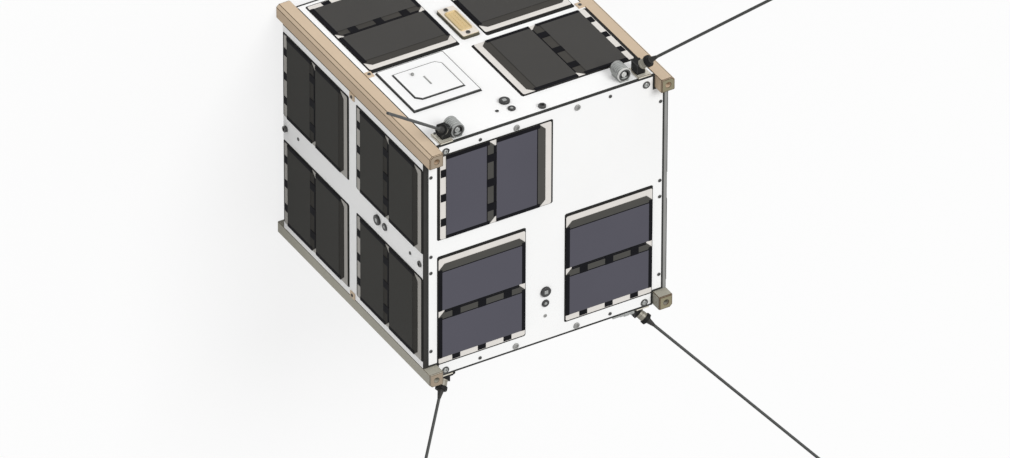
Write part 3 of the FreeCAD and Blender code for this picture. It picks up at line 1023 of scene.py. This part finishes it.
def dress():
    """Every piece that the scene adds to the CAD solids or lays in their place."""
    dress_panels()
    dress_rails()
    sides = ["back", "front", "left", "right"]
    plates = ["top", "base"]
    for face in FACES:
        on_faces("cover_glass", cover_glasses, ["glass_" + source_of(face)], [face])
    on_faces("plate_seal", plate_seal, ["line"], faces=plates)
    on_faces("gap_filler", gap_fillers, ["black"])
    on_faces("gap_strip", gap_strips, ["black"])
    on_faces("board_foot_shade_strip", board_foot_shade, ["bead"], smooth=60)
    on_faces("collector_bar", finger_bars, ["black"], faces=plates)
    on_faces("collector_bar", finger_bars, ["bar"], faces=sides)
    on_faces("small_screws", small_screws, ["dark_steel"], smooth=40)
    on_faces("grey_screws", grey_screws, ["screw"], smooth=40)
    on_faces("dark_screws", dark_screws, ["dark_steel"], smooth=40)
    on_faces("ring_washers", ring_screws, ["dark_steel"], faces=plates, smooth=40)
    on_faces("ring_screws", ring_screw_hearts, ["steel"], faces=plates, smooth=40)
    on_faces("patch_feed", patch_marks, ["screw"], faces=["back", "front"], smooth=40)
    on_faces("patch_beads", patch_beads, ["patch_wall"], faces=["back", "front"])
    on_faces("patch_rims", patch_rims, ["patch_rim"], faces=["back", "front"])
    on_faces("umbilical_screws", connector_screws, ["dark_steel"], faces=["back"], smooth=40)
    on_faces("umbilical_contacts", connector_pins, ["gold"], faces=["back"], smooth=40)
    on_faces("rail_lugs", rail_lugs, ["tan"])
    on_faces("rail_lug_screws", rail_lug_screws, ["dark_steel"], smooth=40)
    on_faces("sensor_windows", sensor_windows, ["lens"], smooth=40)
    on_faces("sensor_bodies", sensor_bodies, ["sensor"], smooth=40, node="sun_sensor")
    for face in ("back", "front"):
        for node, made in (("patch_base_", "patch_substrate_"), ("patch_element_", "patch_plate_")):
            # The patch's walls take the dark patch_wall finish, which is painted shade.
            eased(node + face, made + face, 0.1, ["patch", "patch_wall", "patch_rim"],
                  across_face(face))
    eased("umbilical_connector", "umbilical_body", 0.2, ["gold", "flange", "flange_wall", "gold_rim"],
          umbilical_faces)
    on_faces("umbilical_foot_shade", umbilical_foot_shade, ["flange_wall"], faces=["back"])
    for corner, _x, _y in CORNERS:
        eased("antenna_shoe_" + corner, corner + "_shoe", 0.25, ["shoe", "tan_edge"])
        eased("antenna_block_" + corner, corner + "_root_block", 0.3, ["block", "sensor"])
    at_corners("whip_rod", whip_rod, ["whip"], "antenna_whip", 40)
    at_corners("whip_sleeve", whip_sleeve, ["sleeve"], smooth=40)
    at_corners("whip_collar", whip_collar, ["block"], smooth=40)
    at_corners("whip_ferrule", whip_ferrule, ["ferrule"], smooth=40)
    dress_connectors()
    at_corners("shoe_screws", shoe_screws, ["dark_steel"], smooth=40)


def finish_nodes():
    """Materials for the CAD solids that stay."""
    keys = {"equipment_block": "equipment"}
    for face in FACES:
        keys["cell_strips_" + face] = "black"
        keys["solar_cells_" + face] = "cell_" + source_of(face)
    for name, key in keys.items():
        slots = nodes[name].data.materials
        slots.clear()
        slots.append(finish[key])


dress()
finish_nodes()


# Floor, light and camera

AMBIENT = 0.54
SUN_FROM = (0.22, 0.58, 0.78)
SUN_STRENGTH = 1.89
SUN_ANGLE = 30
FLOOR_GLOW = 0.80
FLOOR_REACH = 30.0
LENS = 550.0
SENSOR = 36.0
CAMERA_AT = (-4.51875, 6.3286, 7.87028)
CAMERA_TURN = (0.9194618, -0.2942078, -0.248848, -0.0781441)


def make_camera():
    """A long lens from far off, as the photograph is close to a parallel projection."""
    data = bpy.data.cameras.new("camera")
    data.lens = LENS
    data.sensor_width = SENSOR
    data.clip_start = 1.0
    data.clip_end = 100.0
    cam = bpy.data.objects.new("camera", data)
    cam.rotation_mode = "QUATERNION"
    cam.location = CAMERA_AT
    cam.rotation_quaternion = CAMERA_TURN
    bpy.context.scene.collection.objects.link(cam)
    bpy.context.scene.camera = cam


def seen_ray(tree):
    """1 for camera, glossy and transmission rays, which see the white background."""
    path = tree.nodes.new("ShaderNodeLightPath")
    total = path.outputs["Is Camera Ray"]
    for ray in ("Is Glossy Ray", "Is Transmission Ray"):
        add = tree.nodes.new("ShaderNodeMath")
        add.operation = "MAXIMUM"
        tree.links.new(total, add.inputs[0])
        tree.links.new(path.outputs[ray], add.inputs[1])
        total = add.outputs["Value"]
    return total


def make_world(strength):
    """Soft even light, and white where the camera sees past the floor."""
    world = bpy.data.worlds.new("studio")
    world.use_nodes = True
    tree = world.node_tree
    tree.nodes.clear()
    out = tree.nodes.new("ShaderNodeOutputWorld")
    soft = tree.nodes.new("ShaderNodeBackground")
    white = tree.nodes.new("ShaderNodeBackground")
    mix = tree.nodes.new("ShaderNodeMixShader")
    soft.inputs["Color"].default_value = (1, 1, 1, 1)
    soft.inputs["Strength"].default_value = strength
    white.inputs["Color"].default_value = (1, 1, 1, 1)
    white.inputs["Strength"].default_value = 1.0
    tree.links.new(seen_ray(tree), mix.inputs[0])
    tree.links.new(soft.outputs[0], mix.inputs[1])
    tree.links.new(white.outputs[0], mix.inputs[2])
    tree.links.new(mix.outputs[0], out.inputs["Surface"])
    bpy.context.scene.world = world


def make_floor():
    """A pale floor that glows for the camera and keeps some of the object's shadow."""
    mat = bpy.data.materials.new("floor_pale")
    mat.use_nodes = True
    tree = mat.node_tree
    tree.nodes.clear()
    out = tree.nodes.new("ShaderNodeOutputMaterial")
    matte = tree.nodes.new("ShaderNodeBsdfDiffuse")
    glow = tree.nodes.new("ShaderNodeEmission")
    mix = tree.nodes.new("ShaderNodeMixShader")
    share = tree.nodes.new("ShaderNodeMath")
    matte.inputs["Color"].default_value = (0.90, 0.90, 0.90, 1)
    glow.inputs["Color"].default_value = (1, 1, 1, 1)
    glow.inputs["Strength"].default_value = 1.0
    share.operation = "MULTIPLY"
    share.inputs[1].default_value = FLOOR_GLOW
    tree.links.new(seen_ray(tree), share.inputs[0])
    tree.links.new(share.outputs[0], mix.inputs[0])
    tree.links.new(matte.outputs[0], mix.inputs[1])
    tree.links.new(glow.outputs[0], mix.inputs[2])
    tree.links.new(mix.outputs[0], out.inputs["Surface"])
    reach = FLOOR_REACH
    corners = [(-reach, -reach, 0), (reach, -reach, 0), (reach, reach, 0), (-reach, reach, 0)]
    mesh = bpy.data.meshes.new("floor")
    mesh.from_pydata(corners, [], [(0, 1, 2, 3)])
    mesh.materials.append(mat)
    floor = bpy.data.objects.new("floor", mesh)
    bpy.context.scene.collection.objects.link(floor)


def make_sun(direction, strength, angle):
    """One broad sun."""
    data = bpy.data.lights.new("key", "SUN")
    data.energy = strength
    data.angle = math.radians(angle)
    sun = bpy.data.objects.new("key", data)
    sun.rotation_mode = "QUATERNION"
    sun.rotation_quaternion = Vector(direction).to_track_quat("Z", "Y")
    bpy.context.scene.collection.objects.link(sun)


make_camera()
make_world(AMBIENT)
make_floor()
make_sun(SUN_FROM, SUN_STRENGTH, SUN_ANGLE)

bpy.context.scene.view_settings.view_transform = "Standard"
